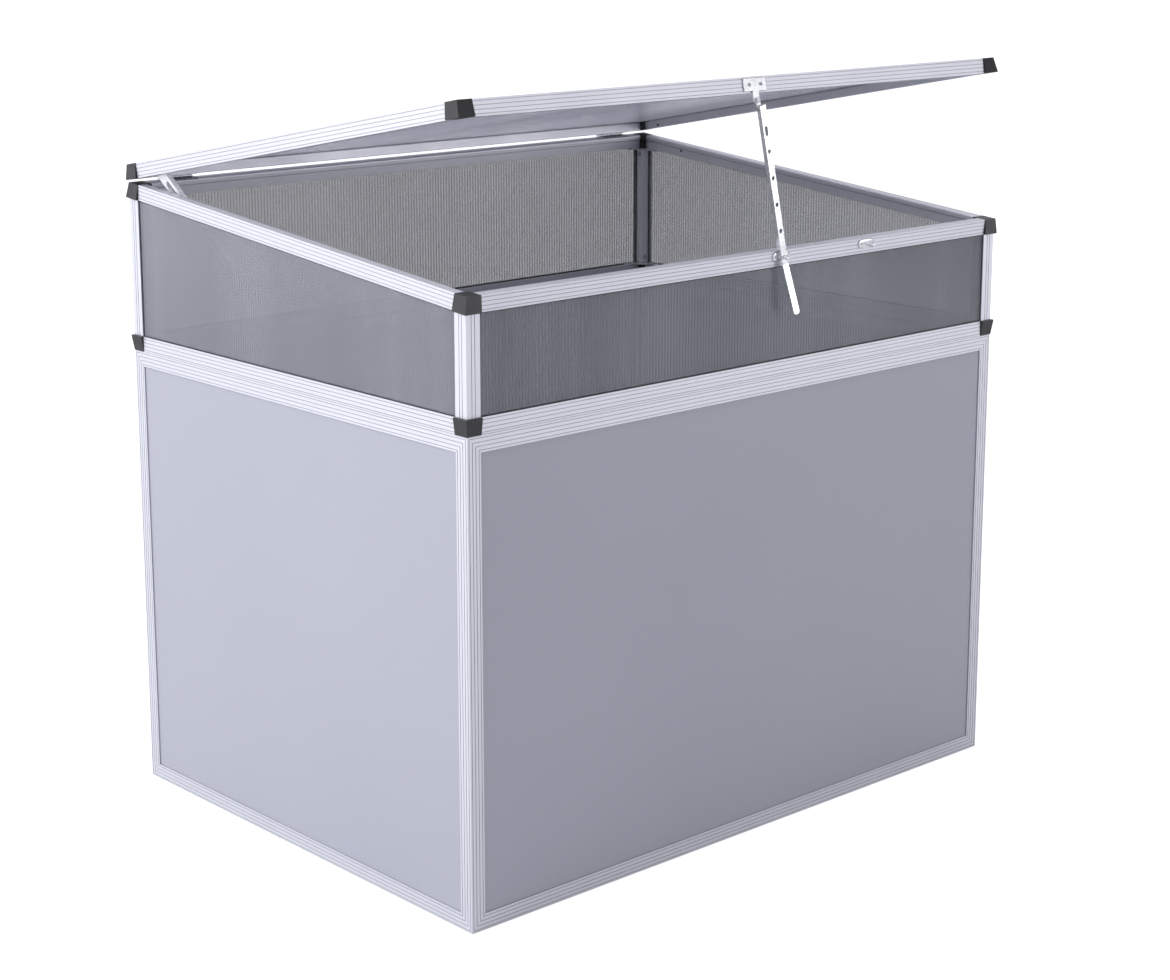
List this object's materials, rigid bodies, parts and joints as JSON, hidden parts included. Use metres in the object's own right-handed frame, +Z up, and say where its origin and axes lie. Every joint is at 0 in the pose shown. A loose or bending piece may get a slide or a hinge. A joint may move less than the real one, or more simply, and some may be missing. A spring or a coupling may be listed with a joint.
{
  "type": "cold frame",
  "caption": "Raised growing box with a panelled base, a glazed upper frame and a sloping twin-wall lid on rear hinges, propped by a perforated stay.",
  "frame": {"origin": "centre of the footprint on the ground", "axes": "+X to the right along the front, +Y from the front to the hinged rear, +Z up"},
  "size_m": [1.2088, 0.9224, 1.2589],
  "materials": {
    "aluminium": "natural mill finish, satin",
    "connector_plastic": "moulded, fine texture",
    "twin_wall": "smoke-tinted clear sheet with upright flutes",
    "base_panel": "smooth light grey sheet",
    "steel": "zinc plated"
  },
  "bodies": {
    "frame": {"base_front_top_rail": "aluminium", "base_front_bottom_rail": "aluminium", "lower_ring_front_rail": "aluminium", "top_ring_front_rail": "aluminium", "base_front_panel": "base_panel", "front_glazing": "twin_wall", "base_rear_top_rail": "aluminium", "base_rear_bottom_rail": "aluminium", "lower_ring_rear_rail": "aluminium", "top_ring_rear_rail": "aluminium", "base_rear_panel": "base_panel", "rear_glazing": "twin_wall", "base_left_top_rail": "aluminium", "base_left_bottom_rail": "aluminium", "lower_ring_left_rail": "aluminium", "top_ring_left_rail": "aluminium", "base_left_panel": "base_panel", "left_glazing": "twin_wall", "base_right_top_rail": "aluminium", "base_right_bottom_rail": "aluminium", "lower_ring_right_rail": "aluminium", "top_ring_right_rail": "aluminium", "base_right_panel": "base_panel", "right_glazing": "twin_wall", "base_front_left_corner": "aluminium", "front_left_post": "aluminium", "base_front_right_corner": "aluminium", "front_right_post": "aluminium", "base_rear_left_corner": "aluminium", "rear_left_post": "aluminium", "base_rear_right_corner": "aluminium", "rear_right_post": "aluminium", "lower_ring_corner_connectors": "connector_plastic", "top_ring_corner_connectors": "connector_plastic", "lower_ring_gussets": "aluminium", "top_ring_gussets": "aluminium", "stay_peg_plate": "aluminium", "parking_peg": "aluminium", "gusset_screws": "steel", "hinge_frame_leaves": "steel", "hinge_pins": "steel", "hinge_frame_screws": "steel", "peg_screws": "steel", "check_arm_guide": "steel"},
    "lid": {"lid_front_rail": "aluminium", "lid_rear_rail": "aluminium", "lid_left_rail": "aluminium", "lid_right_rail": "aluminium", "lid_corner_connectors": "connector_plastic", "lid_glazing": "twin_wall", "hinge_lid_leaves": "steel", "hinge_lid_screws": "steel", "stay_bracket": "aluminium", "stay_bracket_screws": "steel", "stay_swivel_rivet": "steel", "check_arm_pivot": "steel"},
    "stay_link": {"stay_link": "aluminium"},
    "stay_bar": {"stay_bar": "aluminium", "stay_cross_pin": "steel"},
    "check_arm": {"check_arm": "aluminium"}
  },
  "joints": [
    {"name": "lid_hinge", "type": "hinge", "parent": "frame", "child": "lid", "pos_m": [0, 0.44897, 1.06255], "axis": [-1, 0, 0], "range_deg": [-16.03, 84]},
    {"name": "stay_swivel", "type": "hinge", "parent": "lid", "child": "stay_link", "pos_m": [0, -0.43983, 1.22096], "axis": [0, -0.9823, 0.1874], "range_deg": [-101.9, 78.09]},
    {"name": "stay_pin", "type": "hinge", "parent": "stay_link", "child": "stay_bar", "pos_m": [0.00279, -0.4484, 1.20915], "axis": [0.9785, 0.0387, 0.2027], "range_deg": [-17, 85]},
    {"name": "check_arm_pivot", "type": "hinge", "parent": "lid", "child": "check_arm", "pos_m": [-0.5792, 0.3834, 1.08168], "axis": [1, 0, 0], "range_deg": [-17, 85]}
  ],
  "couplings": [
    {"joint": "stay_pin", "follows": "lid_hinge", "ratio": 1},
    {"joint": "check_arm_pivot", "follows": "lid_hinge", "ratio": 1}
  ]
}
